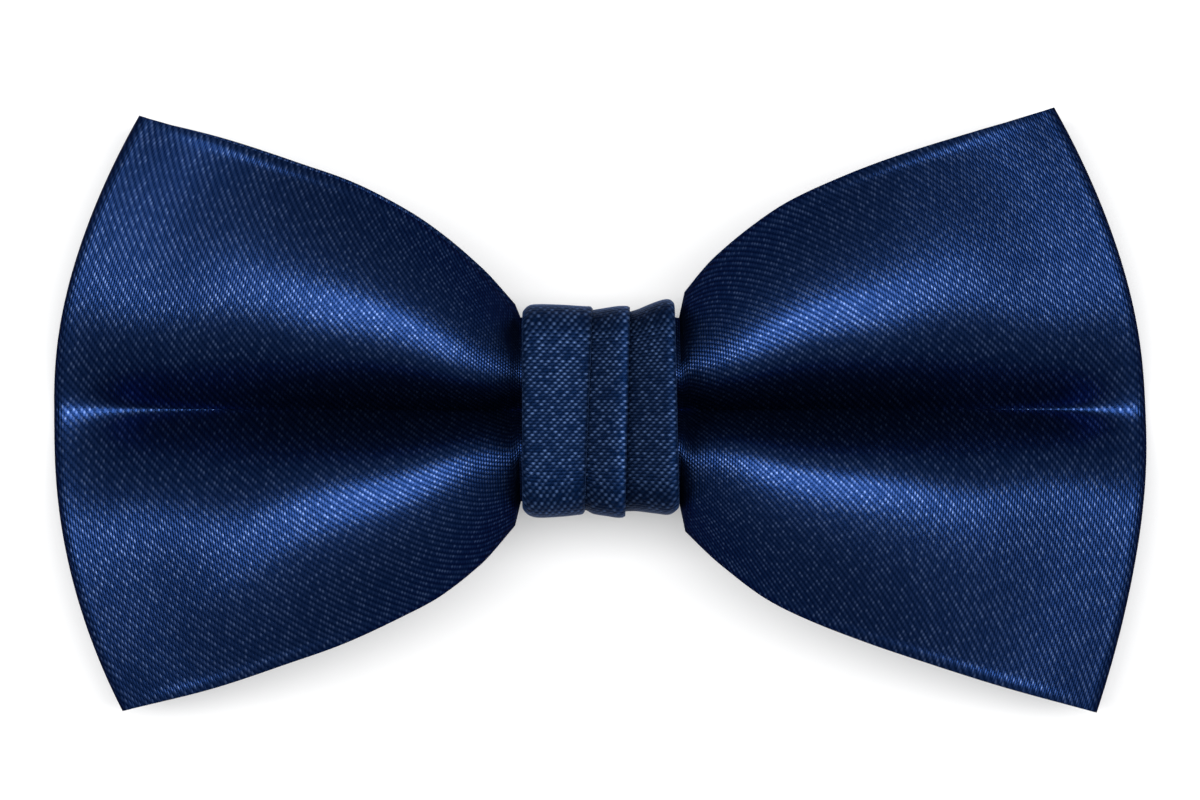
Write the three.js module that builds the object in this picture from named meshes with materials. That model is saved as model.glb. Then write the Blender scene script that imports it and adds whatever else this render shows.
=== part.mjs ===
// Batwing bow tie of navy satin twill, lying on its back.
// Millimetres: X runs along the bow, Y towards its top edge, Z out of its front.
// The origin is under the middle of the bow, on the surface that it lies on.
import * as THREE from 'three';

// Sizes of the bow's cloth loop
const wingReach = 60;          // knot centre to the outer fold
const bowHeight = 65.8;        // lowest corner to highest corner
const bowDepth = 23;           // surface to the highest ridge
const clothWall = 1.0;         // satin doubled over its interlining
const outerFold = 1.0;         // radius of the cloth's middle where it turns back
const pinchDepth = 6.6;        // how deep the cloth is pleated inside the knot
const clearance = 0.3;         // between pieces that touch

// Sizes of the band round the knot
const bandWidth = 16.9;
const bandHeight = 22.9;
const bandWall = 1.0;
const bandCorner = 1.6;        // inner radius where the band turns over the top
const bandCrown = 0.9;         // how far its front bulges
const pleatHeight = 0.9;       // how far its highest pleat stands out
const pleatGap = 0.12;         // width of the step between two pleats
const edgeRound = 0.25;        // rounding of its two side edges

// Sizes of the clip that holds the bow on a collar
const clipWidth = 10;
const clipLength = 18.6;
const clipSheet = 0.8;
const clipThroat = 2.0;        // room for the collar

// The four corners of the bow: reach from the knot's centre as a share of wingReach, height
// from the middle line as a share of half the bow's height, how the outer fold bends between
// its furthest place and the corner, and where that furthest place is across the half.
const corners = {
  leftTop: { side: -1, end: 1, reach: 0.842, height: 0.970, bend: 1.85, furthestAt: 0.02 },
  leftBottom: { side: -1, end: -1, reach: 0.872, height: 0.997, bend: 2.2, furthestAt: 0.02 },
  rightTop: { side: 1, end: 1, reach: 0.830, height: 0.997, bend: 1.9, furthestAt: -0.06 },
  rightBottom: { side: 1, end: -1, reach: 0.907, height: 1.003, bend: 1.8, furthestAt: -0.06 },
};

// How the top and bottom edges climb from the knot (along 0) to the corner (along 1),
// as shares of that corner's height.
const edgeRise = [
  { along: 0.00, leftTop: 0.33, leftBottom: 0.35, rightTop: 0.36, rightBottom: 0.37 },
  { along: 0.05, leftTop: 0.40, leftBottom: 0.43, rightTop: 0.44, rightBottom: 0.45 },
  { along: 0.10, leftTop: 0.47, leftBottom: 0.51, rightTop: 0.51, rightBottom: 0.51 },
  { along: 0.20, leftTop: 0.58, leftBottom: 0.61, rightTop: 0.61, rightBottom: 0.61 },
  { along: 0.30, leftTop: 0.67, leftBottom: 0.68, rightTop: 0.69, rightBottom: 0.68 },
  { along: 0.45, leftTop: 0.76, leftBottom: 0.77, rightTop: 0.77, rightBottom: 0.76 },
  { along: 0.60, leftTop: 0.83, leftBottom: 0.84, rightTop: 0.84, rightBottom: 0.83 },
  { along: 0.80, leftTop: 0.92, leftBottom: 0.93, rightTop: 0.92, rightBottom: 0.92 },
  { along: 1.00, leftTop: 1.00, leftBottom: 1.00, rightTop: 1.00, rightBottom: 1.00 },
];

// Levels of the front panel as shares of the bow's depth: its ridges, the valley between
// them and its top and bottom rims. Then how round the valley's bottom is, and how steeply
// its walls stand (1 is straight from the valley to the ridge).
const frontLevels = [
  { along: 0.06, ridge: 0.80, valley: 0.34, rim: 0.52, round: 0.06, steep: 2.7 },
  { along: 0.15, ridge: 0.90, valley: 0.32, rim: 0.57, round: 0.03, steep: 3.2 },
  { along: 0.30, ridge: 0.95, valley: 0.32, rim: 0.60, round: 0.03, steep: 3.3 },
  { along: 0.45, ridge: 0.91, valley: 0.32, rim: 0.62, round: 0.035, steep: 3.3 },
  { along: 0.65, ridge: 0.74, valley: 0.28, rim: 0.59, round: 0.04, steep: 3.1 },
  { along: 0.85, ridge: 0.48, valley: 0.11, rim: 0.44, round: 0.10, steep: 4.6 },
  { along: 1.00, ridge: 0.30, valley: 0.115, rim: 0.285, round: 0.19, steep: 3.6 },
];

// Where each of the four ridges runs, as a share of the half height
const ridgePlaces = [
  { along: 0.00, leftTop: 0.44, leftBottom: 0.44, rightTop: 0.44, rightBottom: 0.44 },
  { along: 0.08, leftTop: 0.39, leftBottom: 0.38, rightTop: 0.38, rightBottom: 0.36 },
  { along: 0.26, leftTop: 0.47, leftBottom: 0.44, rightTop: 0.45, rightBottom: 0.39 },
  { along: 0.48, leftTop: 0.52, leftBottom: 0.51, rightTop: 0.50, rightBottom: 0.41 },
  { along: 0.70, leftTop: 0.57, leftBottom: 0.64, rightTop: 0.57, rightBottom: 0.45 },
  { along: 0.90, leftTop: 0.64, leftBottom: 0.76, rightTop: 0.62, rightBottom: 0.50 },
  { along: 1.00, leftTop: 0.68, leftBottom: 0.80, rightTop: 0.66, rightBottom: 0.54 },
];

// The back panel's levels, which its ridges share with the front panel's.
const backLevels = [
  { along: 0.06, ridge: 0.42, valley: 0.17, rim: 0.19 },
  { along: 0.15, ridge: 0.20, valley: 0.07, rim: 0.10 },
  { along: 0.30, ridge: 0.07, valley: 0.03, rim: 0.04 },
  { along: 0.45, ridge: 0.05, valley: 0.03, rim: 0.03 },
  { along: 0.65, ridge: 0.07, valley: 0.04, rim: 0.03 },
  { along: 0.85, ridge: 0.13, valley: 0.04, rim: 0.08 },
];

// The band's pleats, as shares of its width: where each starts and ends, how far its two
// edges lean with the height, and its outer level at both edges as a share of pleatHeight.
const pleats = [
  { from: -0.50, to: -0.085, leanFrom: 0.00, leanTo: 0.05, levelFrom: 0.72, levelTo: 1.00 },
  { from: -0.085, to: 0.160, leanFrom: 0.05, leanTo: 0.03, levelFrom: 0.30, levelTo: 0.66 },
  { from: 0.160, to: 0.50, leanFrom: 0.03, leanTo: -0.03, levelFrom: 0.05, levelTo: 0.22 },
];

// Grid lines of the cloth: along each wing, inside the knot, across each half and round the fold
const wingLines = [0, 0.02, 0.04, 0.07, 0.12, 0.20, 0.30, 0.42, 0.55, 0.68, 0.80, 0.90, 0.96, 1];
const acrossLines = [0.06, 0.14, 0.24, 0.34, 0.44, 0.55, 0.66, 0.77, 0.87, 0.94, 1];
const foldSteps = 4;

// Steps of the band round each corner and down its front, and of the clip's bend
const cornerSteps = 4;
const faceSteps = 8;
const bendSteps = 8;

// Places that follow from the sizes: the stack behind the knot, from the surface forwards
const clipBack = 2 * clipSheet + clipThroat;
const bandBack = clipBack + clearance;
const pinchBack = bandBack + bandWall + clearance;
const mouth = bandWidth / 2 + clearance + clothWall / 2;
const rimProud = clothWall / 3;    // how far the wall stands past its middle at the rims
const pinchHalf = bandHeight / 2 - bandWall - clearance - rimProud;
const pinchRidgeAt = Math.min(...Object.keys(corners).map((name) => ridgePlaces[0][name]));
const pinchFolds = { round: 0.3, steep: 2 };   // the valley's roundness and slope in the knot
const neckFlare = 0.04;          // share of the wing over which it spreads out of the band
const rimFall = 1.7;             // how a panel falls from its ridge to its rim, 1 is straight

// Inside the knot the front panel lies in the pleats of the back panel, a wall further out
const pinchRun = pinchHalf * pinchRidgeAt * (1 + pinchFolds.round);
const pinchSlope = pinchFolds.steep * pinchDepth / pinchRun;
const layerStep = (clothWall + clearance / 3) * Math.hypot(1, pinchSlope);
const backPinch = { valley: pinchBack + clothWall / 2 };
backPinch.ridge = backPinch.valley + pinchDepth;
backPinch.rim = backPinch.valley;
const frontPinch = {
  valley: backPinch.valley + layerStep,
  ridge: backPinch.ridge + layerStep,
  rim: backPinch.rim + layerStep,
};
const pinchFront = frontPinch.ridge + clothWall / 2;

// The panels' tables in millimetres, from the pleats inside the knot to the outer fold
const frontRows = [
  { along: 0, ...pinchFolds, ...frontPinch },
  ...frontLevels.map(scaledToDepth),
];
const foldRow = frontRows[frontRows.length - 1];
const backRows = [
  { along: 0, ...backPinch },
  ...backLevels.map(scaledToDepth),
  {
    along: 1,
    ridge: foldRow.ridge - 2 * outerFold,
    valley: foldRow.valley - 2 * outerFold,
    rim: foldRow.rim - 2 * outerFold,
  },
];

// A row of levels turned from shares of the depth into millimetres
function scaledToDepth(row) {
  return { ...row, ridge: row.ridge * bowDepth, valley: row.valley * bowDepth, rim: row.rim * bowDepth };
}

// Value of one column of a table at a place between its rows, without corners at the rows
function lookUp(rows, column, along) {
  const last = rows.length - 1;
  if (along <= rows[0].along) return rows[0][column];
  if (along >= rows[last].along) return rows[last][column];
  const i = rows.findIndex((row) => row.along > along) - 1;
  const slope = (k) => {
    const before = rows[Math.max(k - 1, 0)];
    const after = rows[Math.min(k + 1, last)];
    return (after[column] - before[column]) / (after.along - before.along);
  };
  const length = rows[i + 1].along - rows[i].along;
  const share = (along - rows[i].along) / length;
  const eased = share * share * (3 - 2 * share);
  const straight = rows[i][column] + (rows[i + 1][column] - rows[i][column]) * eased;
  const lead = slope(i) * share * (1 - share) ** 2;
  const trail = slope(i + 1) * share ** 2 * (1 - share);
  return straight + (lead - trail) * length;
}

// The corner on one side (-1 left, 1 right) and towards one end (-1 bottom, 1 top)
function cornerName(side, end) {
  return Object.keys(corners).find((name) => corners[name].side === side && corners[name].end === end);
}

// Height of a panel at one place across it (t from -1 at the bottom rim to 1 at the top rim):
// steep out of the valley, over the ridge and down to the rim.
function panelLevel(rows, side, along, t) {
  const level = (column) => lookUp(rows, column, along);
  const ridgeAt = lookUp(ridgePlaces, cornerName(side, t >= 0 ? 1 : -1), along);
  const u = Math.abs(t) / ridgeAt;
  if (u > 1) {
    const v = (Math.abs(t) - ridgeAt) / (1 - ridgeAt);
    return level('rim') + (level('ridge') - level('rim')) * (1 - v ** rimFall);
  }
  const round = lookUp(frontRows, 'round', along);
  const steep = lookUp(frontRows, 'steep', along);
  const climb = (Math.hypot(u, round) - round) / (Math.hypot(1, round) - round);
  return level('valley') + (level('ridge') - level('valley')) * (1 - (1 - climb) ** steep);
}

// Place of the cloth seen from the front: how far along the wing and how far across it
function wingPlan(side, along, t) {
  const name = cornerName(side, t >= 0 ? 1 : -1);
  const corner = corners[name];
  const foldInset = outerFold + clothWall / 2;
  const fromFurthest = Math.abs(t - corner.furthestAt) / Math.abs(corner.end - corner.furthestAt);
  const reach = wingReach * (1 - (1 - corner.reach) * fromFurthest ** corner.bend) - foldInset;
  const opened = lookUp(edgeRise, name, along) * (corner.height * bowHeight / 2 - rimProud);
  const half = pinchHalf + (opened - pinchHalf) * Math.min(along / neckFlare, 1);
  return { x: side * (mouth + (reach - mouth) * along), y: t * half };
}

// One line of points across a panel, at a place along a wing
function panelLine(rows, side, along, across) {
  return across.map((t) => {
    const plan = wingPlan(side, along, t);
    return new THREE.Vector3(plan.x, plan.y, panelLevel(rows, side, along, t));
  });
}

// One line of points across the outer fold, turned by an angle from the front to the back
function foldLine(side, turn, across) {
  return across.map((t) => {
    const inner = wingPlan(side, wingLines[wingLines.length - 2], t);
    const outer = wingPlan(side, 1, t);
    const outward = new THREE.Vector3(outer.x - inner.x, outer.y - inner.y, 0).normalize();
    const middle = panelLevel(frontRows, side, 1, t) - outerFold;
    const point = new THREE.Vector3(outer.x, outer.y, middle + outerFold * Math.cos(turn));
    return point.addScaledVector(outward, outerFold * Math.sin(turn));
  });
}

// All lines of the loop in order: front panel to the right, fold, back panel, left fold
function loopLines(across) {
  const rising = wingLines.slice(1);
  const falling = [...rising].reverse();
  const pinch = [-1, -0.5, 0, 0.5, 1];
  const pinchLine = (rows, share) => across.map((t) => (
    new THREE.Vector3(share * mouth, t * pinchHalf, panelLevel(rows, 1, 0, t))));
  const turns = Array.from({ length: foldSteps - 1 }, (_, i) => Math.PI * (i + 1) / foldSteps);
  return [
    ...falling.map((along) => panelLine(frontRows, -1, along, across)),
    ...pinch.map((share) => pinchLine(frontRows, share)),
    ...rising.map((along) => panelLine(frontRows, 1, along, across)),
    ...turns.map((turn) => foldLine(1, turn, across)),
    ...falling.map((along) => panelLine(backRows, 1, along, across)),
    ...[...pinch].reverse().map((share) => pinchLine(backRows, share)),
    ...rising.map((along) => panelLine(backRows, -1, along, across)),
    ...[...turns].reverse().map((turn) => foldLine(-1, turn, across)),
  ];
}

// A closed body from a grid of points that runs round in both directions
function ringSolid(lines) {
  const rows = lines.length;
  const columns = lines[0].length;
  const positions = lines.flat().flatMap((point) => [point.x, point.y, point.z]);
  const triangles = [];
  for (let i = 0; i < rows; i += 1) {
    for (let j = 0; j < columns; j += 1) {
      const a = i * columns + j;
      const b = ((i + 1) % rows) * columns + j;
      const c = ((i + 1) % rows) * columns + (j + 1) % columns;
      const d = i * columns + (j + 1) % columns;
      triangles.push(a, b, c, a, c, d);
    }
  }
  const geometry = new THREE.BufferGeometry();
  geometry.setAttribute('position', new THREE.Float32BufferAttribute(positions, 3));
  geometry.setIndex(triangles);
  geometry.computeVertexNormals();
  return geometry;
}

// The cloth loop: its middle surface, given a wall on both sides of it
function bowLoop() {
  const across = [...[...acrossLines].reverse().map((t) => -t), 0, ...acrossLines];
  const lines = loopLines(across);
  const count = lines.length;
  const walls = lines.map((line, i) => {
    const before = lines[(i + count - 1) % count];
    const after = lines[(i + 1) % count];
    const normals = line.map((point, j) => {
      const lengthwise = after[j].clone().sub(before[j]);
      const upper = line[Math.min(j + 1, line.length - 1)];
      const lower = line[Math.max(j - 1, 0)];
      return lengthwise.cross(upper.clone().sub(lower)).normalize().multiplyScalar(clothWall / 2);
    });
    const outside = line.map((point, j) => point.clone().add(normals[j]));
    const inside = line.map((point, j) => point.clone().sub(normals[j]));
    return [...outside, ...inside.reverse()];
  });
  return ringSolid(walls);
}

// How far the band's outer face stands out over its plain wall at a place across and along it
function pleatLevel(pleat, share) {
  return pleatHeight * (pleat.levelFrom + (pleat.levelTo - pleat.levelFrom) * share);
}

// Points of the band's outline across its width: the pleated outside, then the plain inside
function bandSection(y, lift) {
  const lean = y / bandHeight;
  const outside = pleats.flatMap((pleat) => {
    const from = (pleat.from + pleat.leanFrom * lean) * bandWidth + pleatGap;
    const to = (pleat.to + pleat.leanTo * lean) * bandWidth;
    return [0, 0.5, 1].map((share) => ({
      x: from + (to - from) * share,
      out: bandWall + lift * pleatLevel(pleat, share),
    }));
  });
  const first = outside[0];
  const last = outside[outside.length - 1];
  return [
    { x: first.x, out: first.out - edgeRound },
    ...outside.map((point, i) => ({
      x: point.x + (i === 0 ? edgeRound : 0) - (point === last ? edgeRound : 0),
      out: point.out,
    })),
    { x: last.x, out: last.out - edgeRound },
    { x: last.x, out: 0 },
    { x: first.x, out: 0 },
  ];
}

// The band's inner path round the pinched cloth, with the direction that faces out of it
function bandPath() {
  const half = bandHeight / 2 - bandWall;
  const front = pinchFront + clearance;
  const back = bandBack + bandWall;
  const path = [];
  const addCorner = (y, z, startTurn) => {
    for (let i = 0; i <= cornerSteps; i += 1) {
      const turn = startTurn + (Math.PI / 2) * i / cornerSteps;
      const out = { y: Math.cos(turn), z: Math.sin(turn) };
      path.push({ y: y + bandCorner * out.y, z: z + bandCorner * out.z, out });
    }
  };
  addCorner(half - bandCorner, front - bandCorner, 0);
  for (let i = 1; i < faceSteps; i += 1) {
    const share = 1 - 2 * i / faceSteps;
    const y = share * (half - bandCorner);
    path.push({ y, z: front + bandCrown * (1 - share * share), out: { y: 0, z: 1 } });
  }
  addCorner(-(half - bandCorner), front - bandCorner, Math.PI / 2);
  addCorner(-(half - bandCorner), back + bandCorner, Math.PI);
  addCorner(half - bandCorner, back + bandCorner, 1.5 * Math.PI);
  return path;
}

// The band: its section carried round the pinch. The pleats stand out on its front and are
// pulled flat over the top and bottom and on its back.
function knotBand() {
  const lines = bandPath().map(({ y, z, out }) => (
    bandSection(y, Math.max(out.z, 0)).map((point) => (
      new THREE.Vector3(point.x, y + out.y * point.out, z + out.z * point.out)))));
  return ringSolid(lines);
}

// The clip: a strip of sheet bent back on itself over the collar's edge, open at the bottom
function collarClip() {
  const bend = clipSheet + clipThroat / 2;
  const top = clipLength / 2 - bend;
  const bottom = -clipLength / 2;
  const outline = new THREE.Shape();
  outline.moveTo(bottom, 0);
  outline.lineTo(top, 0);
  outline.absarc(top, bend, bend, -Math.PI / 2, Math.PI / 2, false);
  outline.lineTo(bottom, clipBack);
  outline.lineTo(bottom, clipBack - clipSheet);
  outline.lineTo(top, clipBack - clipSheet);
  outline.absarc(top, bend, clipThroat / 2, Math.PI / 2, -Math.PI / 2, true);
  outline.lineTo(bottom, clipSheet);
  outline.closePath();
  const geometry = new THREE.ExtrudeGeometry(outline, {
    depth: clipWidth, steps: 1, bevelEnabled: false, curveSegments: bendSteps,
  });
  geometry.translate(0, 0, -clipWidth / 2);
  geometry.rotateX(Math.PI / 2);
  geometry.rotateZ(Math.PI / 2);
  return geometry;
}

const satin = new THREE.MeshStandardMaterial({ color: 0x1c3467, roughness: 0.42, metalness: 0 });
const bandSatin = new THREE.MeshStandardMaterial({ color: 0x1a3060, roughness: 0.5, metalness: 0 });
const steel = new THREE.MeshStandardMaterial({ color: 0xb9bcc0, roughness: 0.3, metalness: 1 });

// A named piece of the bow tie
function piece(name, geometry, material) {
  const mesh = new THREE.Mesh(geometry, material);
  mesh.name = name;
  return mesh;
}

const bowTie = new THREE.Group();
bowTie.add(piece('bow_loop', bowLoop(), satin));
bowTie.add(piece('knot_band', knotBand(), bandSatin));
bowTie.add(piece('collar_clip', collarClip(), steel));

export default bowTie;
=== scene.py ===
# %% [markdown]
# A pre-tied bow tie in navy satin twill, lying on its back on a white table.
# The real one is three things: a strip of doubled satin folded into a flat loop and pinched
# at its middle, a narrow pleated band round the pinch, and a clip behind it for the collar.
# The solids of the same three pieces are loaded first, and everything here is made in their
# places, so that nothing has to be fitted afterwards.

# %% Load the solids
import bisect
import math

import bmesh
import bpy
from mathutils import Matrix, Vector


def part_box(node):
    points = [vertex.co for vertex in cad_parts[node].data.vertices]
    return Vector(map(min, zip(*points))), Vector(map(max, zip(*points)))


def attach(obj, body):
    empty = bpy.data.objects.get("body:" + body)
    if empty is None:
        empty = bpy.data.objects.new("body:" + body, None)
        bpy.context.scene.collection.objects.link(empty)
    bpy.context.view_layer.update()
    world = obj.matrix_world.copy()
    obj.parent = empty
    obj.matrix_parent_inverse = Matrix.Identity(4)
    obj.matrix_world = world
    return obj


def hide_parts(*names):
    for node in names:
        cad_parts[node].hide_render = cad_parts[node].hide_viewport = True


MM = 0.001
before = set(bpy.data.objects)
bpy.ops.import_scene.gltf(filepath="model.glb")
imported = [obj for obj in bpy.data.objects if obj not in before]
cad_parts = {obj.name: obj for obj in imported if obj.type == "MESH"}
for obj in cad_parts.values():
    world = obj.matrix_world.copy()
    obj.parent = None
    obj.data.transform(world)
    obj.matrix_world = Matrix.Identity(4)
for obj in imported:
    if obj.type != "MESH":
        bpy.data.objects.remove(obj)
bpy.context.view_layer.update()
loop_low, loop_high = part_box("bow_loop")
band_low, band_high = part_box("knot_band")
print("bow", [round(v / MM, 1) for v in (loop_high - loop_low)], "mm")
print("band", [round(v / MM, 1) for v in (band_high - band_low)], "mm")

# %% [markdown]
# The cloth loop. On the real tie it is satin doubled over interlining, so its wall is nearly
# a millimetre thick, and its outer folds stay round. It could be draped by a simulation, but
# the outline and the bands of light have to fall in exact places, so it is shaped by tables.
# Its overall sizes come from the solid's box, and the rest are sizes of the cloth itself.

# %% Sizes of the cloth loop
wing_reach = (loop_high.x - loop_low.x) / 2
thinner_wall_share = 0.996
bow_height = (loop_high.y - loop_low.y) * thinner_wall_share
bow_depth = 23 * MM
cloth_wall = 0.8 * MM
fold_radius = 1.0 * MM
band_gap = 0.45 * MM
mouth = (band_high.x - band_low.x) / 2 + band_gap
pinch_half = 9.7 * MM
print("each wing is", round((wing_reach - mouth) / MM, 1), "mm long from the band")

# %% [markdown]
# The outline. A pinched strip opens like a fan: its edges climb steeply out of the band and
# then level out, and its outer fold bends. The four corners of a folded bow differ, so each
# has a row or a column of its own. reach and height are the corner's place as shares of the
# wing's reach and of half the height, end is 1 at the top and -1 at the bottom, bend is the
# power by which the outer fold curves in, and furthest_at is where it stands out furthest.
# The second table gives the edge's height over the way along the wing, which runs from 0 at
# the band to 1 at the outer fold. A curve through each column keeps the edges smooth.

# %% Tables of the outline
CORNERS = {
    "left_top": dict(end=1, reach=0.842, height=0.970, bend=1.85, furthest_at=0.02),
    "left_bottom": dict(end=-1, reach=0.872, height=0.997, bend=2.2, furthest_at=0.02),
    "right_top": dict(end=1, reach=0.830, height=0.997, bend=1.9, furthest_at=-0.06),
    "right_bottom": dict(end=-1, reach=0.907, height=1.003, bend=1.8, furthest_at=-0.06),
}
EDGE_RISE = [
    dict(along=0.00, left_top=0.31, left_bottom=0.35, right_top=0.35, right_bottom=0.37),
    dict(along=0.05, left_top=0.385, left_bottom=0.43, right_top=0.43, right_bottom=0.44),
    dict(along=0.10, left_top=0.457, left_bottom=0.505, right_top=0.50, right_bottom=0.505),
    dict(along=0.20, left_top=0.57, left_bottom=0.61, right_top=0.603, right_bottom=0.61),
    dict(along=0.30, left_top=0.66, left_bottom=0.68, right_top=0.685, right_bottom=0.68),
    dict(along=0.45, left_top=0.76, left_bottom=0.77, right_top=0.77, right_bottom=0.76),
    dict(along=0.60, left_top=0.83, left_bottom=0.84, right_top=0.84, right_bottom=0.83),
    dict(along=0.80, left_top=0.92, left_bottom=0.93, right_top=0.92, right_bottom=0.92),
    dict(along=1.00, left_top=1.00, left_bottom=1.00, right_top=1.00, right_bottom=1.00),
]

# %% [markdown]
# A table gives the shape at a few places only. Straight lines between its rows would show as
# corners in the satin, so one small function eases from row to row and takes the slope at
# each row from its neighbours. All the tables of rows are read by it.


# %% Reading the tables
def look_up(rows, column, along):
    """Value of a column at a place between its rows, without corners at the rows."""
    last = len(rows) - 1
    if along <= rows[0]["along"]:
        return rows[0][column]
    if along >= rows[last]["along"]:
        return rows[last][column]
    i = next(k for k, row in enumerate(rows) if row["along"] > along) - 1

    def slope(k):
        before, after = rows[max(k - 1, 0)], rows[min(k + 1, last)]
        return (after[column] - before[column]) / (after["along"] - before["along"])

    length = rows[i + 1]["along"] - rows[i]["along"]
    share = (along - rows[i]["along"]) / length
    eased = share * share * (3 - 2 * share)
    straight = rows[i][column] + (rows[i + 1][column] - rows[i][column]) * eased
    lead = slope(i) * share * (1 - share) ** 2
    trail = slope(i + 1) * share**2 * (1 - share)
    return straight + (lead - trail) * length


print("left top edge half way:", round(look_up(EDGE_RISE, "left_top", 0.5), 3))

# %% [markdown]
# Seen from the front, the cloth's place follows from two numbers: along, the way along the
# wing, and t, from -1 at its bottom edge to 1 at its top edge. At the band the cloth has the
# height of the pinch, and right outside it flares out to the height in the table.

# %% The wings seen from the front
neck_flare = 0.01
rim_inset = cloth_wall / 3


def corner_name(side, t):
    return ("left" if side < 0 else "right") + ("_top" if t >= 0 else "_bottom")


def wing_plan(side, along, t, proud=0.0):
    """Place of the cloth seen from the front, with t from -1 at the bottom to 1 at the top."""
    name = corner_name(side, t)
    corner = CORNERS[name]
    from_furthest = abs(t - corner["furthest_at"]) / abs(corner["end"] - corner["furthest_at"])
    reach = wing_reach * (1 - (1 - corner["reach"]) * from_furthest ** corner["bend"])
    reach -= fold_radius + cloth_wall / 2
    opened = look_up(EDGE_RISE, name, along) * (corner["height"] * bow_height / 2 - rim_inset)
    opened += proud
    half = pinch_half + (opened - pinch_half) * min(along / neck_flare, 1)
    return Vector((side * (mouth + (reach - mouth) * along), t * half))


for name in CORNERS:
    corner = wing_plan(-1 if "left" in name else 1, 1, 1 if "top" in name else -1)
    print(name, "corner", [round(v / MM, 1) for v in corner], "mm")

# %% [markdown]
# The swell of the wings. The front panel lies deepest in a crease on the middle line, climbs
# a steep flank to a ridge and rolls down to its rim, and the back panel does the same in
# small. Levels are shares of the bow's depth above the table. round says how round the
# crease's bottom is, and steep how quickly its flank stands up. The flanks turn away from
# the lamp, which keeps them nearly black, and the ridges draw the bright bands of the satin.
# The ridges fan out too, each in its own column, as shares of the half height.

# %% Tables of the swell
RIDGE_PLACES = [
    dict(along=0.00, left_top=0.38, left_bottom=0.44, right_top=0.38, right_bottom=0.44),
    dict(along=0.08, left_top=0.365, left_bottom=0.38, right_top=0.355, right_bottom=0.36),
    dict(along=0.26, left_top=0.47, left_bottom=0.455, right_top=0.45, right_bottom=0.40),
    dict(along=0.48, left_top=0.52, left_bottom=0.53, right_top=0.50, right_bottom=0.425),
    dict(along=0.70, left_top=0.57, left_bottom=0.68, right_top=0.57, right_bottom=0.47),
    dict(along=0.90, left_top=0.64, left_bottom=0.76, right_top=0.62, right_bottom=0.50),
    dict(along=1.00, left_top=0.68, left_bottom=0.80, right_top=0.66, right_bottom=0.54),
]
FRONT_LEVELS = [
    dict(along=0.00, ridge=0.70, valley=0.40, rim=0.46, round=0.30, steep=2.0),
    dict(along=0.06, ridge=0.80, valley=0.34, rim=0.52, round=0.06, steep=2.7),
    dict(along=0.15, ridge=0.90, valley=0.32, rim=0.57, round=0.03, steep=3.2),
    dict(along=0.30, ridge=0.95, valley=0.32, rim=0.60, round=0.03, steep=3.3),
    dict(along=0.45, ridge=0.91, valley=0.32, rim=0.62, round=0.035, steep=3.3),
    dict(along=0.65, ridge=0.74, valley=0.26, rim=0.59, round=0.04, steep=3.0),
    dict(along=0.85, ridge=0.475, valley=0.11, rim=0.455, round=0.10, steep=4.6),
    dict(along=1.00, ridge=0.30, valley=0.115, rim=0.285, round=0.19, steep=3.6),
]
BACK_LEVELS = [
    dict(along=0.00, ridge=0.54, valley=0.255, rim=0.255),
    dict(along=0.06, ridge=0.42, valley=0.17, rim=0.19),
    dict(along=0.15, ridge=0.20, valley=0.07, rim=0.10),
    dict(along=0.30, ridge=0.07, valley=0.03, rim=0.04),
    dict(along=0.45, ridge=0.05, valley=0.03, rim=0.03),
    dict(along=0.65, ridge=0.07, valley=0.03, rim=0.03),
    dict(along=0.85, ridge=0.13, valley=0.04, rim=0.08),
    dict(along=1.00, ridge=0.213, valley=0.028, rim=0.193),
]

highest = max(row["ridge"] for row in FRONT_LEVELS)
print("ridge", round(highest * bow_depth / MM, 1), "mm above the table where it is highest")


# %% From the crease to the ridge
def flank_level(valley, ridge, along, u):
    """Level at a share u of the way from the crease to the ridge."""
    soft = look_up(FRONT_LEVELS, "round", along)
    climb = (math.hypot(u, soft) - soft) / (math.hypot(1, soft) - soft)
    return valley + (ridge - valley) * (1 - (1 - climb) ** look_up(FRONT_LEVELS, "steep", along))


# %% [markdown]
# Past the ridge the cloth rolls down to its rim. Along the rim the real cloth is turned in,
# which leaves a low bead that catches a thin line of light. The bead could be a cord of its
# own, but it is the same cloth, so it is a small rise in the same surface.

# %% From the ridge to the rim
rim_fall = 1.7
rim_bead = 0.22 * MM
bead_place = 0.5 * MM
bead_fade = 6


def rim_level(ridge, rim, side, along, t, ridge_at):
    """Level between the ridge and the rim, with the low bead of the turned edge."""
    past = (abs(t) - ridge_at) / (1 - ridge_at)
    from_rim = (1 - abs(t)) * bow_height / 2 * look_up(EDGE_RISE, corner_name(side, t), along)
    bead = rim_bead * (1 - along**bead_fade)
    bead *= math.exp(-(((from_rim - bead_place) / bead_place) ** 2))
    return rim + (ridge - rim) * (1 - past**rim_fall) + bead


# %% A panel's level
def panel_level(rows, side, along, t):
    """Height of a panel above the table."""
    valley, ridge, rim = (look_up(rows, c, along) * bow_depth for c in ("valley", "ridge", "rim"))
    ridge_at = look_up(RIDGE_PLACES, corner_name(side, t), along)
    u = abs(t) / ridge_at
    if u > 1:
        return rim_level(ridge, rim, side, along, t, ridge_at)
    return flank_level(valley, ridge, along, u)


crease = [round(panel_level(FRONT_LEVELS, 1, along, 0) / MM, 1) for along in (0.1, 0.5, 0.9)]
print("crease at", crease, "mm above the table")

# %% [markdown]
# The back panel shows as a thin line past the front panel's edges, because it is folded a
# little wider than the front one. It could be a second piece, but it is the same strip, so
# only its edges are moved outwards. The line fades towards the outer folds, where front and
# back are one cloth.

# %% Front and back panels
BACK_PROUD_MM = dict(left_top=0.75, left_bottom=0.3, right_top=0.45, right_bottom=0.3)
proud_fade = 4


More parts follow.
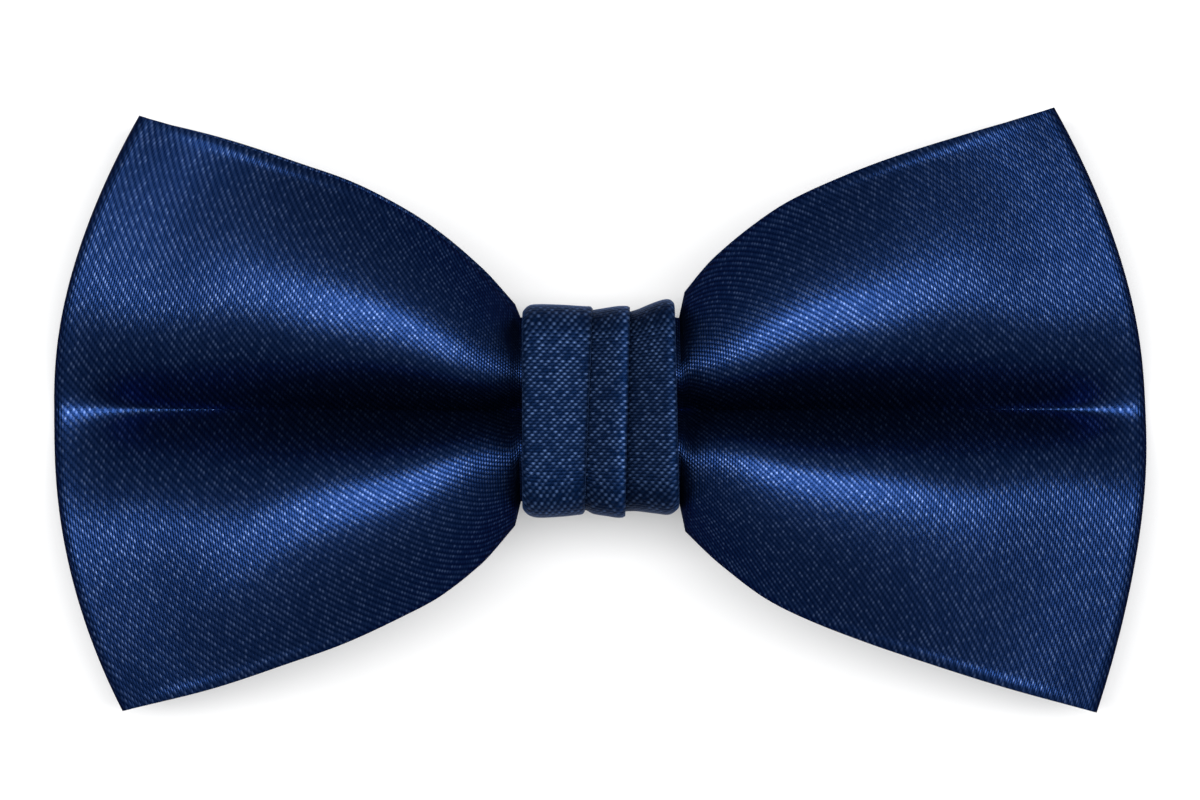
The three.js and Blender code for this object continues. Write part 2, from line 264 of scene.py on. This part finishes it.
def panel_point(rows, side, along, t):
    name = corner_name(side, t)
    proud = BACK_PROUD_MM[name] * MM * (1 - along**proud_fade) if rows is BACK_LEVELS else 0.0
    plan = wing_plan(side, along, t, proud)
    return Vector((plan.x, plan.y, panel_level(rows, side, along, t)))


print("back panel's edge stands", BACK_PROUD_MM["left_top"], "mm proud at the left top")

# %% [markdown]
# The loop as one strip. A grid is made flat, with one direction running round the loop and
# the other across the cloth, and each of its vertices is carried to its place: front panel,
# outer fold, back panel. Before they move, the flat places are written into the UV map in
# millimetres of cloth, so that the weave follows the strip as threads do. The width is that
# of the front panel where it is widest, measured across it over both ridges.

# %% Lengths of the strip
wing_length = wing_reach - mouth - fold_radius
fold_length = math.pi * fold_radius
half_loop = 2 * (mouth + wing_length) + fold_length
cloth_half = 35.2 * MM
print("strip", round(2 * half_loop / MM), "mm long,", round(2 * cloth_half / MM, 1), "mm wide")

# %% [markdown]
# Inside the band the folds of the real neck are packed tight. They could be folded one by
# one, but nobody sees them, so the valley is only filled up to its ridges there. Without
# that, a wide gap would show under the band from the side.


# %% The neck inside the band
def neck_level(side, d, t):
    """Front of the neck, whose valley is packed up against the inside of the band."""
    level = panel_level(FRONT_LEVELS, side, 0, t)
    if abs(t) > RIDGE_PLACES[0][corner_name(side, t)]:
        return level
    packed = (1 - (d / mouth) ** 2) ** 2
    return level + (FRONT_LEVELS[0]["ridge"] * bow_depth - level) * packed


print("neck", round(neck_level(1, 0, 0) / MM, 1), "mm above the table at its middle")

# %% [markdown]
# At a wing's end the strip turns back in half a round. The round stands square to the curved
# outline, so its direction is taken from the wing's own last stretch, and a plain bend
# modifier, which turns about one straight axis, wouldn't follow it.

# %% The outer folds
just_inside_fold = 0.97


def fold_point(side, distance, t):
    """Place on the half round that turns the front panel into the back one."""
    turn = distance / fold_radius
    outer, inner = wing_plan(side, 1, t), wing_plan(side, just_inside_fold, t)
    outward = (outer - inner).normalized()
    middle = panel_level(FRONT_LEVELS, side, 1, t) - fold_radius
    plan = outer + outward * fold_radius * math.sin(turn)
    return Vector((plan.x, plan.y, middle + fold_radius * math.cos(turn)))


# %% Round the whole strip
def strip_point(distance, t):
    """Place of the cloth at a distance along the strip from the middle of its front."""
    side = 1 if distance >= 0 else -1
    d = abs(distance)
    if d <= mouth:
        return Vector((side * d, t * pinch_half, neck_level(side, d, t)))
    d -= mouth
    if d <= wing_length:
        return panel_point(FRONT_LEVELS, side, d / wing_length, t)
    d -= wing_length
    if d < fold_length:
        return fold_point(side, d, t)
    d -= fold_length
    if d <= wing_length:
        return panel_point(BACK_LEVELS, side, 1 - d / wing_length, t)
    d -= wing_length
    return Vector((side * (mouth - d), t * pinch_half, panel_level(BACK_LEVELS, side, 0, t)))


tip = strip_point(mouth + wing_length + fold_length / 2, 0)
print("outer fold reaches", round(tip.x / MM, 1), "mm to the right")

# %% [markdown]
# A mesh becomes a piece in the same few steps each time: smooth faces, a place in the scene, and
# the call that ties it to the body. The wall could be modelled face by face, but a Solidify
# modifier gives cloth its even thickness, and a small Bevel after it rounds the cut edges.

# %% Helpers for pieces
sharp_turn = math.radians(60)


def new_piece(name, bm):
    mesh = bpy.data.meshes.new(name)
    for face in bm.faces:
        face.smooth = True
    bm.to_mesh(mesh)
    bm.free()
    piece = bpy.data.objects.new(name, mesh)
    bpy.context.scene.collection.objects.link(piece)
    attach(piece, "root")
    return piece


def add_wall(piece, thickness, rounding, segments):
    wall = piece.modifiers.new("wall", "SOLIDIFY")
    wall.thickness = thickness
    wall.offset = 0
    wall.use_even_offset = False
    bevel = piece.modifiers.new("rounded edges", "BEVEL")
    bevel.width = rounding
    bevel.segments = segments
    bevel.limit_method = "ANGLE"
    bevel.angle_limit = sharp_turn


# %% [markdown]
# The strip itself is one grid, fine enough for the creases. An even grid would waste faces
# where the cloth is smooth, so its lines crowd together where it bends most. Where the
# strip's two ends meet behind the neck, doubles are merged, and then the faces are turned
# outwards before the wall is added.

# %% Fold the strip
round_steps, across_steps = 300, 96
crowding = 0.1
strip_weld = 0.01 * MM


def across_share(y):
    """Grid lines crowd together at the valley and at the rims."""
    return y - crowding * math.sin(2 * math.pi * y)


def folded_strip():
    bm = bmesh.new()
    cloth = bm.loops.layers.uv.new("cloth")
    bmesh.ops.create_grid(bm, x_segments=round_steps, y_segments=across_steps, size=1)
    for face in bm.faces:
        for loop in face.loops:
            x, y = loop.vert.co.xy
            loop[cloth].uv = (x * half_loop / MM, across_share(y) * cloth_half / MM)
    for vert in bm.verts:
        x, y = vert.co.xy
        vert.co = strip_point(x * half_loop, across_share(y))
    bmesh.ops.remove_doubles(bm, verts=bm.verts, dist=strip_weld)
    bmesh.ops.recalc_face_normals(bm, faces=bm.faces)
    return bm


# %% The satin bow
cut_rounding = 0.3 * MM
bow = new_piece("satin_bow", folded_strip())
add_wall(bow, cloth_wall, cut_rounding, segments=3)
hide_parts("bow_loop")
print("satin bow:", len(bow.data.polygons), "faces before its wall")

# %% [markdown]
# The knot band is a narrow strip laid in three pleats that lap to the right like roof
# tiles. It could be three flat strips on a ring, but the pleats of the real one run into
# each other, so its cross-section is drawn once as a winding line that folds back under
# itself at each lap, and the strip is carried round the pinch along a rounded path.

# %% Sizes of the band
band_sheet = 0.34 * MM
band_lift = 1.6 * MM
band_inset = 1.0 * MM
band_back_room = 0.6 * MM
band_half_height = (band_high.y - band_low.y) / 2 - band_inset
band_width = band_high.x - band_low.x
band_depth = band_high.z - band_low.z - band_lift - band_back_room
band_centre = Vector((0, 0, band_low.z + band_back_room + band_depth / 2))
print("band ring", round(2 * band_half_height / MM, 1), "x", round(band_depth / MM, 1), "mm")

# %% [markdown]
# The pleats as a table. Each row is a place on the winding line: at is where it stands as a share
# of the band's width, out is its height over the ring in millimetres, lean is how far it moves
# sideways from the bottom to the top, and the last column is painted light and shade, a factor on
# that stretch of cloth's colour. It paints highlights on the pressed folds and shadow on the
# cloth under each lap, and paints the left pleat lighter than the other two.

# %% Table of the pleats
BAND_SECTION = [
    dict(at=-0.30, out=0.20, lean=0.00, painted_light=0.5),
    dict(at=-0.47, out=0.22, lean=0.00, painted_light=0.5),
    dict(at=-0.495, out=0.70, lean=0.00, painted_light=0.8),
    dict(at=-0.475, out=1.22, lean=0.00, painted_light=1.0),
    dict(at=-0.42, out=1.44, lean=0.00, painted_light=1.1),
    dict(at=-0.28, out=1.54, lean=0.02, painted_light=1.2),
    dict(at=-0.14, out=1.58, lean=0.04, painted_light=1.2),
    dict(at=-0.10, out=1.50, lean=0.05, painted_light=1.0),
    dict(at=-0.095, out=1.22, lean=0.05, painted_light=0.25),
    dict(at=-0.13, out=1.08, lean=0.05, painted_light=0.2),
    dict(at=-0.20, out=0.92, lean=0.05, painted_light=0.2),
    dict(at=-0.215, out=0.72, lean=0.05, painted_light=0.2),
    dict(at=-0.19, out=0.58, lean=0.05, painted_light=0.2),
    dict(at=-0.08, out=0.74, lean=0.05, painted_light=0.6),
    dict(at=0.04, out=1.08, lean=0.04, painted_light=0.75),
    dict(at=0.11, out=1.42, lean=0.03, painted_light=1.2),
    dict(at=0.145, out=1.48, lean=0.03, painted_light=2.0),
    dict(at=0.158, out=1.26, lean=0.03, painted_light=0.5),
    dict(at=0.13, out=0.92, lean=0.03, painted_light=0.2),
    dict(at=0.04, out=0.50, lean=0.03, painted_light=0.2),
    dict(at=0.025, out=0.34, lean=0.03, painted_light=0.2),
    dict(at=0.05, out=0.24, lean=0.03, painted_light=0.2),
    dict(at=0.17, out=0.36, lean=0.03, painted_light=0.45),
    dict(at=0.31, out=0.80, lean=0.00, painted_light=0.65),
    dict(at=0.415, out=1.10, lean=-0.02, painted_light=0.8),
    dict(at=0.457, out=1.04, lean=-0.03, painted_light=1.6),
    dict(at=0.470, out=0.62, lean=-0.03, painted_light=0.6),
    dict(at=0.455, out=0.30, lean=-0.03, painted_light=0.5),
    dict(at=0.40, out=0.20, lean=-0.02, painted_light=0.5),
    dict(at=0.26, out=0.14, lean=0.00, painted_light=0.5),
]
print("pleats' table:", len(BAND_SECTION), "rows")

# %% [markdown]
# The band's ends aren't straight: each pleat ends at its own height. The table gives the
# ends above and below over the width, as shares of the band's half height.

# %% Table of the band's ends
BAND_ENDS = [
    dict(at=-0.50, top=0.95, bottom=0.96),
    dict(at=-0.46, top=0.985, bottom=1.00),
    dict(at=-0.40, top=0.99, bottom=1.015),
    dict(at=-0.25, top=0.98, bottom=1.00),
    dict(at=-0.10, top=0.965, bottom=0.98),
    dict(at=-0.05, top=0.972, bottom=1.01),
    dict(at=0.08, top=0.982, bottom=1.018),
    dict(at=0.16, top=0.972, bottom=1.01),
    dict(at=0.22, top=0.985, bottom=1.00),
    dict(at=0.36, top=1.045, bottom=1.005),
    dict(at=0.43, top=1.055, bottom=1.005),
    dict(at=0.48, top=1.01, bottom=0.96),
]
print("tallest pleat", max(row["top"] for row in BAND_ENDS), "of the half height")

# %% [markdown]
# A flat strip keeps its length when it is folded, so a place on it is a distance along the
# winding line, and not one of the table's rows. Two helpers measure a line and find the
# point at a distance. With them the weave runs through the pleats without stretching.


# %% Lines measured along their length
def measured(points):
    """Distance of each point of a line from its first."""
    distances = [0.0]
    for before, after in zip(points, points[1:]):
        distances.append(distances[-1] + (after - before).length)
    return distances


def point_on(points, distances, distance):
    i = min(max(bisect.bisect_right(distances, distance), 1), len(points) - 1)
    share = (distance - distances[i - 1]) / (distances[i] - distances[i - 1])
    return points[i - 1].lerp(points[i], share)


# %% The winding line across the band
row_steps = 12
lean_scale = 0.01 * MM


def band_section():
    """Its third value carries the lean, so small that it adds nothing to the length."""
    steps = row_steps * (len(BAND_SECTION) - 1)
    rows = [dict(row, along=i * row_steps) for i, row in enumerate(BAND_SECTION)]
    line = []
    for step in range(steps + 1):
        at, out, lean = (look_up(rows, column, step) for column in ("at", "out", "lean"))
        line.append(Vector((at * band_width, out * MM, lean * lean_scale)))
    return line


section_line = band_section()
section_marks = measured(section_line)
print("band cloth", round(section_marks[-1] / MM, 1), "mm wide with its pleats opened")

# %% [markdown]
# Seen from the side the band is a box with round corners, softer at its front, because it
# lies round a soft neck. A bevelled box would do, but a superellipse gives the slight crown
# of its faces as well. The higher its power, the squarer it is.

# %% The way round the pinch
ring_steps = 720
front_squareness, back_squareness = 5, 6


def ring_path():
    """A rounded box round the pinch, from the middle of its back, softer at the front."""
    line = []
    for step in range(ring_steps + 1):
        turn = -math.pi / 2 + 2 * math.pi * step / ring_steps
        squareness = front_squareness if math.sin(turn) > 0 else back_squareness
        across = math.copysign(abs(math.cos(turn)) ** (2 / squareness), math.cos(turn))
        forward = math.copysign(abs(math.sin(turn)) ** (2 / squareness), math.sin(turn))
        offset = Vector((0, band_half_height * across, band_depth / 2 * forward))
        line.append(band_centre + offset)
    return line


ring_line = ring_path()
ring_marks = measured(ring_line)
print("band cloth", round(ring_marks[-1] / MM, 1), "mm long")

# %% [markdown]
# A point of the band is its place on the ring, moved outwards by its height on the winding
# line. Behind the knot the pleats are pressed flatter, and towards the band's ends each
# pleat is stretched to its own height from the table.

# %% Facing out of the ring
feel = 0.3 * MM


def ring_outward(around):
    """Direction away from the pinch at a distance round the ring."""
    before = point_on(ring_line, ring_marks, max(around - feel, 0))
    after = point_on(ring_line, ring_marks, min(around + feel, ring_marks[-1]))
    tangent = (after - before).normalized()
    return Vector((0, tangent.z, -tangent.y))


# %% A point of the band
back_lift = 0.55
END_ROWS = [dict(row, along=row["at"]) for row in BAND_ENDS]


def band_point(across, around):
    """Place on the band at a distance across its cloth and one round the ring."""
    x, out, lean = point_on(section_line, section_marks, across)
    place = point_on(ring_line, ring_marks, around)
    outward = ring_outward(around)
    height = place.y / (2 * band_half_height)
    x += lean / lean_scale * height * band_width
    lift = back_lift + (1 - back_lift) * max(outward.z, 0)
    point = place + outward * out * lift
    end = look_up(END_ROWS, "top" if place.y > 0 else "bottom", x / band_width)
    point.y *= 1 + (end - 1) * min(abs(2 * height), 1)
    point.x = (band_high.x + band_low.x) / 2 + x
    return point


# %% Wrap the band
pleat_steps, wrap_steps = 190, 130
band_weld = 0.005 * MM


def across_and_around(vert):
    """Place of a grid's vertex on the flat cloth of the band."""
    return (vert.co.x + 1) / 2 * section_marks[-1], (vert.co.y + 1) / 2 * ring_marks[-1]


def wrapped_band():
    bm = bmesh.new()
    cloth = bm.loops.layers.uv.new("cloth")
    bmesh.ops.create_grid(bm, x_segments=pleat_steps, y_segments=wrap_steps, size=1)
    for face in bm.faces:
        for loop in face.loops:
            across, around = across_and_around(loop.vert)
            loop[cloth].uv = (around / MM, across / MM)
    for vert in bm.verts:
        vert.co = band_point(*across_and_around(vert))
    bmesh.ops.remove_doubles(bm, verts=bm.verts, dist=band_weld)
    bmesh.ops.recalc_face_normals(bm, faces=bm.faces)
    return bm


# %% The pleated band
pleat_rounding = 0.08 * MM
band = new_piece("pleated_band", wrapped_band())
add_wall(band, band_sheet, pleat_rounding, segments=2)
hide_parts("knot_band")
print("pleated band:", len(band.data.polygons), "faces before its wall")

# %% [markdown]
# Satin twill. Each warp thread floats over several wefts and then dips under one, and the
# dips step sideways from thread to thread, which draws the slanting ribs. A picture of cloth
# could be laid on, but it would blur close up, so the pattern is worked out from the cloth's
# own coordinates: which thread, and where along its float. Here are the two node helpers.


# %% Node helpers
def math_node(tree, operation, first, second=None):
    node = tree.nodes.new("ShaderNodeMath")
    node.operation = operation
    for socket, value in zip(node.inputs, (first, second)):
        if isinstance(value, (int, float)):
            socket.default_value = value
        elif value is not None:
            tree.links.new(value, socket)
    return node.outputs[0]


def mix_colours(tree, factor, first, second):
    node = tree.nodes.new("ShaderNodeMix")
    node.data_type = "RGBA"
    tree.links.new(factor, node.inputs["Factor"])
    for socket, colour in (("A", first), ("B", second)):
        if isinstance(colour, tuple):
            node.inputs[socket].default_value = (*colour, 1)
        else:
            tree.links.new(colour, node.inputs[socket])
    return node.outputs["Result"]


# %% [markdown]
# The two weaves. thread is a thread's width and repeat a float's length with its dip, both in
# millimetres. step is how far the next thread's floats are shifted, as a share of the repeat. The
# last two are powers that keep the glints short and few; these glints are painted highlights,
# pale spots painted into the cloth's colour.

# %% Two weaves
WING_WEAVE = dict(thread=0.29, repeat=1.08, step=1 / 3, painted_spark=4, rare=2.5)
BAND_WEAVE = dict(thread=0.33, repeat=0.74, step=3 / 7, painted_spark=2.5, rare=1.2)
print("wing ribs", round(WING_WEAVE["thread"] / WING_WEAVE["step"], 2), "mm apart")

# %% [markdown]
# The pattern as waves. A thread's number and the place across it give the phase of its
# float, and the same sum without the rounding to whole threads gives the slanting ribs. A
# cosine raised to a small power makes a wave with broad tops and narrow dips, as floats
# have. Voronoi cells or bricks could place the floats too, but they don't line up in ribs.

# %% Ribs, floats and threads
rib_sharpness = 0.3
float_sharpness = 0.45


def crest(tree, phase, sharpness):
    """1 at each whole phase and 0 half way between."""
    wave = math_node(tree, "COSINE", math_node(tree, "MULTIPLY", phase, 2 * math.pi))
    share = math_node(tree, "MULTIPLY", math_node(tree, "ADD", wave, 1), 0.5)
    return math_node(tree, "POWER", share, sharpness)


def weave_pattern(tree, weave, along, across):
    threads = math_node(tree, "DIVIDE", along, weave["thread"])
    repeats = math_node(tree, "DIVIDE", across, weave["repeat"])
    index = math_node(tree, "FLOOR", threads)
    step = weave["step"]
    float_phase = math_node(tree, "ADD", repeats, math_node(tree, "MULTIPLY", index, step))
    rib_phase = math_node(tree, "ADD", repeats, math_node(tree, "MULTIPLY", threads, step))
    half_turn = math_node(tree, "MULTIPLY", threads, math.pi)
    return dict(
        index=index,
        float_phase=float_phase,
        round_thread=math_node(tree, "ABSOLUTE", math_node(tree, "SINE", half_turn)),
        rib=crest(tree, rib_phase, rib_sharpness),
        lifted=crest(tree, float_phase, float_sharpness),
    )


# %% [markdown]
# The colours of the threads, with painted light and shade in them. On real satin each float
# catches the light a little differently and a few glint, so a random value for each float of each
# thread sets how bright it is, and a high power of that value keeps the pale glints rare. These
# pale glints are painted highlights, and the dark dips between the floats and between the ribs
# are painted shade.

# %% Colours of the threads, with painted highlights and shade
plain_light = 0.6


def float_luck(tree, pattern):
    """A random value for each float of each thread."""
    cell = tree.nodes.new("ShaderNodeCombineXYZ")
    tree.links.new(pattern["index"], cell.inputs["X"])
    nearest = math_node(tree, "ADD", pattern["float_phase"], 0.5)
    tree.links.new(math_node(tree, "FLOOR", nearest), cell.inputs["Y"])
    chance = tree.nodes.new("ShaderNodeTexWhiteNoise")
    chance.noise_dimensions = "2D"
    tree.links.new(cell.outputs["Vector"], chance.inputs["Vector"])
    return chance.outputs["Value"]


def thread_colour(tree, weave, pattern, colours):
    """Painted shade in the grooves, blue floats, and now and then a painted highlight, a pale
    glint, on top of a float.
    """
    luck = float_luck(tree, pattern)
    lucky = math_node(tree, "MULTIPLY", luck, 1 - plain_light)
    lit = math_node(tree, "ADD", lucky, plain_light)
    # Darker where the floats dip and between the ribs: painted shade that follows the relief.
    lit = math_node(tree, "MULTIPLY", lit, pattern["lifted"])
    lit = math_node(tree, "MULTIPLY", lit, pattern["rib"])
    # Painted highlights: pale glints on the tops of a few floats.
    top = crest(tree, pattern["float_phase"], weave["painted_spark"])
    painted_spark = math_node(tree, "MULTIPLY", top, pattern["round_thread"])
    painted_spark = math_node(tree, "MULTIPLY", painted_spark, math_node(tree, "POWER", luck, weave["rare"]))
    colour = mix_colours(tree, lit, colours["painted_groove_shade"], colours["face"])
    return mix_colours(tree, painted_spark, colour, colours["painted_glint"])


# %% [markdown]
# The relief. Modelled threads would take millions of faces, and at this distance only their
# shading shows, so ribs, floats and round threads are added up into one height for a bump.

# %% The relief of the threads
rib_height = 0.5
float_height = 0.7
relief_strength = 0.7
relief_height = 0.04 * MM


def thread_relief(tree, pattern):
    """Threads too fine to model, as a bump."""
    ribs = math_node(tree, "MULTIPLY", pattern["rib"], rib_height)
    height = math_node(tree, "ADD", ribs, pattern["round_thread"])
    floats = math_node(tree, "MULTIPLY", pattern["lifted"], float_height)
    height = math_node(tree, "ADD", height, floats)
    bump = tree.nodes.new("ShaderNodeBump")
    bump.inputs["Strength"].default_value = relief_strength
    bump.inputs["Distance"].default_value = relief_height
    tree.links.new(height, bump.inputs["Height"])
    return bump.outputs["Normal"]


# %% [markdown]
# Painted light and shade on the pleats: the traced light alone left them too much alike, so their
# colour is multiplied by a ramp over the cloth's width, made from the last column of the pleats'
# table, with painted highlights on the pressed folds and painted shadow on the cloth under each
# lap. A ramp's colours are kept below 1 here, so the values are halved in it and doubled after
# it.

# %% Painted light and shade of the pleats
most_painted_light = 2
pleat_painted_light = [
    dict(place=section_marks[row_steps * i], painted_light=row["painted_light"])
    for i, row in enumerate(BAND_SECTION)
]


# Multiplies the colour by the painted light and shade across the band's cloth.
def apply_painted_shading(tree, colour, across, painted_light):
    ramp = tree.nodes.new("ShaderNodeValToRGB")
    stops = ramp.color_ramp.elements
    length = painted_light[-1]["place"]
    for stop in painted_light[1:-1]:
        stops.new(stop["place"] / length)
    for element, stop in zip(stops, painted_light):
        share = stop["painted_light"] / most_painted_light
        element.color = (share, share, share, 1)
    tree.links.new(math_node(tree, "DIVIDE", across, length / MM), ramp.inputs["Fac"])
    scale = tree.nodes.new("ShaderNodeVectorMath")
    scale.operation = "SCALE"
    tree.links.new(colour, scale.inputs["Vector"])
    amount = math_node(tree, "MULTIPLY", ramp.outputs["Color"], most_painted_light)
    tree.links.new(amount, scale.inputs["Scale"])
    return scale.outputs["Vector"]


print("pleats' ramp:", len(pleat_painted_light), "stops")

# %% [markdown]
# The gloss. Dyed satin reflects in its own colour, so the shader is mostly metallic with a
# dark blue base, and the surface's own white reflection is kept low and blue. The band is
# pressed flat and faces the camera all over, so it is less metallic and takes a blue sheen,
# which keeps it an even dark blue up to its rounded ends.

# %% The satin
SURFACE_REFLECTION = dict(level=0.12, tint=(0.10, 0.14, 0.28, 1))
SHEEN_LOOK = dict(roughness=0.4, tint=(0.15, 0.32, 0.85, 1))


def satin(name, weave, colours, metallic, roughness, sheen=0.0, painted_light=None):
    """Threads run across the strip; each next one shifts its floats by a step of the repeat."""
    material = bpy.data.materials.new(name)
    material.use_nodes = True
    tree = material.node_tree
    shader = tree.nodes["Principled BSDF"]
    uv = tree.nodes.new("ShaderNodeUVMap")
    uv.uv_map = "cloth"
    split = tree.nodes.new("ShaderNodeSeparateXYZ")
    tree.links.new(uv.outputs["UV"], split.inputs[0])
    along, across = split.outputs["X"], split.outputs["Y"]
    pattern = weave_pattern(tree, weave, along, across)
    colour = thread_colour(tree, weave, pattern, colours)
    # Painted light and shade across the cloth's width, where a table of it is given.
    if painted_light:
        colour = apply_painted_shading(tree, colour, across, painted_light)
    tree.links.new(colour, shader.inputs["Base Color"])
    tree.links.new(thread_relief(tree, pattern), shader.inputs["Normal"])
    shader.inputs["Metallic"].default_value = metallic
    shader.inputs["Roughness"].default_value = roughness
    shader.inputs["Specular IOR Level"].default_value = SURFACE_REFLECTION["level"]
    shader.inputs["Specular Tint"].default_value = SURFACE_REFLECTION["tint"]
    shader.inputs["Sheen Weight"].default_value = sheen
    shader.inputs["Sheen Roughness"].default_value = SHEEN_LOOK["roughness"]
    shader.inputs["Sheen Tint"].default_value = SHEEN_LOOK["tint"]
    return material


# %% [markdown]
# The wings and the band are cut from the same satin. The band's colours are darker numbers,
# because its less metallic shader spreads light that the wings only mirror. All of them were
# found by rendering and comparing with the photo.

# %% Satin on the wings and on the band
# In both, the groove colour is painted shade in the dips and the glint colour a painted
# highlight.
WING_COLOURS = dict(
    painted_groove_shade=(0.0025, 0.0110, 0.048),
    face=(0.0170, 0.0405, 0.133),
    painted_glint=(0.085, 0.132, 0.270),
)
BAND_COLOURS = dict(
    painted_groove_shade=(0.0003, 0.0024, 0.011),
    face=(0.0018, 0.0088, 0.034),
    painted_glint=(0.040, 0.070, 0.150),
)
wing_satin = satin("wing satin", WING_WEAVE, WING_COLOURS, metallic=0.93, roughness=0.34)
band_satin = satin(
    "band satin", BAND_WEAVE, BAND_COLOURS, metallic=0.3, roughness=0.33, sheen=0.13,
    painted_light=pleat_painted_light,
)
bow.data.materials.append(wing_satin)
band.data.materials.append(band_satin)
print("wing satin:", len(wing_satin.node_tree.nodes), "nodes")

# %% [markdown]
# The clip stays as it was modelled, in plain nickel-plated spring steel. Its fine grain runs
# along the strip, so a noise is stretched that way and varies the roughness only.

# %% The clip's steel
GRAIN_SCALE = (6000, 200, 200)
smoothest, roughest = 0.22, 0.38
nickel = (0.62, 0.61, 0.58, 1)


def clip_steel():
    material = bpy.data.materials.new("clip steel")
    material.use_nodes = True
    tree = material.node_tree
    shader = tree.nodes["Principled BSDF"]
    place = tree.nodes.new("ShaderNodeTexCoord")
    stretch = tree.nodes.new("ShaderNodeMapping")
    stretch.inputs["Scale"].default_value = GRAIN_SCALE
    grain = tree.nodes.new("ShaderNodeTexNoise")
    grain.inputs["Scale"].default_value = 1
    tree.links.new(place.outputs["Object"], stretch.inputs["Vector"])
    tree.links.new(stretch.outputs["Vector"], grain.inputs["Vector"])
    rough = tree.nodes.new("ShaderNodeMapRange")
    rough.inputs["To Min"].default_value = smoothest
    rough.inputs["To Max"].default_value = roughest
    tree.links.new(grain.outputs["Fac"], rough.inputs["Value"])
    tree.links.new(rough.outputs["Result"], shader.inputs["Roughness"])
    shader.inputs["Base Color"].default_value = nickel
    shader.inputs["Metallic"].default_value = 1
    return material


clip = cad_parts["collar_clip"]
clip.data.materials.clear()
clip.data.materials.append(clip_steel())
print("clip finish:", clip.data.materials[0].name)

# %% [markdown]
# The table. The picture is taken straight down on a white table that is nearly burnt out to
# pure white. A brighter lamp would do that too, but it would wash out the satin, so the
# table glows a little by itself. Glossy rays don't see it, which keeps the steep flanks of
# the wings nearly black.

# %% Table
table_half = 1.5
table_white = (0.47, 0.47, 0.473, 1)
table_glow = 0.31
table_roughness = 0.9
table_gloss = 0.1


def white_table():
    bm = bmesh.new()
    bmesh.ops.create_grid(bm, x_segments=1, y_segments=1, size=table_half)
    mesh = bpy.data.meshes.new("table")
    bm.to_mesh(mesh)
    bm.free()
    table = bpy.data.objects.new("table", mesh)
    bpy.context.scene.collection.objects.link(table)
    material = bpy.data.materials.new("white table")
    material.use_nodes = True
    shader = material.node_tree.nodes["Principled BSDF"]
    shader.inputs["Base Color"].default_value = table_white
    shader.inputs["Emission Color"].default_value = (1, 1, 1, 1)
    shader.inputs["Emission Strength"].default_value = table_glow
    shader.inputs["Roughness"].default_value = table_roughness
    shader.inputs["Specular IOR Level"].default_value = table_gloss
    mesh.materials.append(material)
    table.visible_glossy = False
    return table


table = white_table()
print("table", round(table.dimensions.x, 1), "m wide")

# %% [markdown]
# The lamps. Satin shows the shape of whatever lights it. One long, narrow softbox hangs
# above and a little beyond the bow's top edge and draws the bright band along each ridge. A
# wide, weak one over the middle gives the outer parts of the wings their even blue. Small
# lamps would give hard spots on every float instead.


# %% Lamps
def lamp(name, place, width, length, power):
    data = bpy.data.lights.new(name, "AREA")
    data.shape = "RECTANGLE"
    data.size = width
    data.size_y = length
    data.energy = power
    obj = bpy.data.objects.new(name, data)
    obj.location = place
    obj.rotation_euler = (-Vector(place)).to_track_quat("-Z", "Y").to_euler()
    bpy.context.scene.collection.objects.link(obj)


lamp("top softbox", (0, 0.12, 1.0), width=3.8, length=0.45, power=40)
lamp("wide softbox", (0, 0.0, 1.3), width=3.2, length=2.6, power=7)
print("lamps:", len(bpy.data.lights))

# %% [markdown]
# The room. The camera sees a pale room, and the room casts only about a third of that
# light, so that the shadows under the wings stay soft and the satin dark. One world can do
# both, because it can ask whether a ray comes from the camera.


# %% Room
room_colour = (0.96, 0.98, 1.0, 1)


def pale_room(seen, cast):
    """A room that looks pale and adds little light of its own."""
    world = bpy.data.worlds.new("pale room")
    world.use_nodes = True
    tree = world.node_tree
    light = tree.nodes["Background"]
    rays = tree.nodes.new("ShaderNodeLightPath")
    strength = tree.nodes.new("ShaderNodeMapRange")
    strength.inputs["To Min"].default_value = cast
    strength.inputs["To Max"].default_value = seen
    tree.links.new(rays.outputs["Is Camera Ray"], strength.inputs["Value"])
    tree.links.new(strength.outputs["Result"], light.inputs["Strength"])
    light.inputs["Color"].default_value = room_colour
    bpy.context.scene.world = world


pale_room(seen=0.9, cast=0.33)
bpy.context.scene.view_settings.view_transform = "Standard"
print("room:", bpy.context.scene.world.name)

# %% [markdown]
# The camera looks straight down from nearly a metre. Its lens is worked out from the size of
# a pixel on the bow, which is 120 mm wide over 1096 pixels, so that the render and the
# picture lie on each other. That scale is true a little above the table, near the level of
# the outer folds. The bow's middle lies some rows below the picture's.

# %% Camera
picture_width = 1200
pixel = 120 * MM / 1096
middle_row, bow_row = 400, 409.5
eye_height = 0.9
true_level = 5 * MM
sensor_width = 36
camera_data = bpy.data.cameras.new("camera")
camera_data.sensor_width = sensor_width
camera_data.lens = sensor_width * (eye_height - true_level) / (picture_width * pixel)
camera = bpy.data.objects.new("camera", camera_data)
camera.location = (0, (bow_row - middle_row) * pixel, eye_height)
bpy.context.scene.collection.objects.link(camera)
bpy.context.scene.camera = camera
print("lens", round(camera_data.lens), "mm")
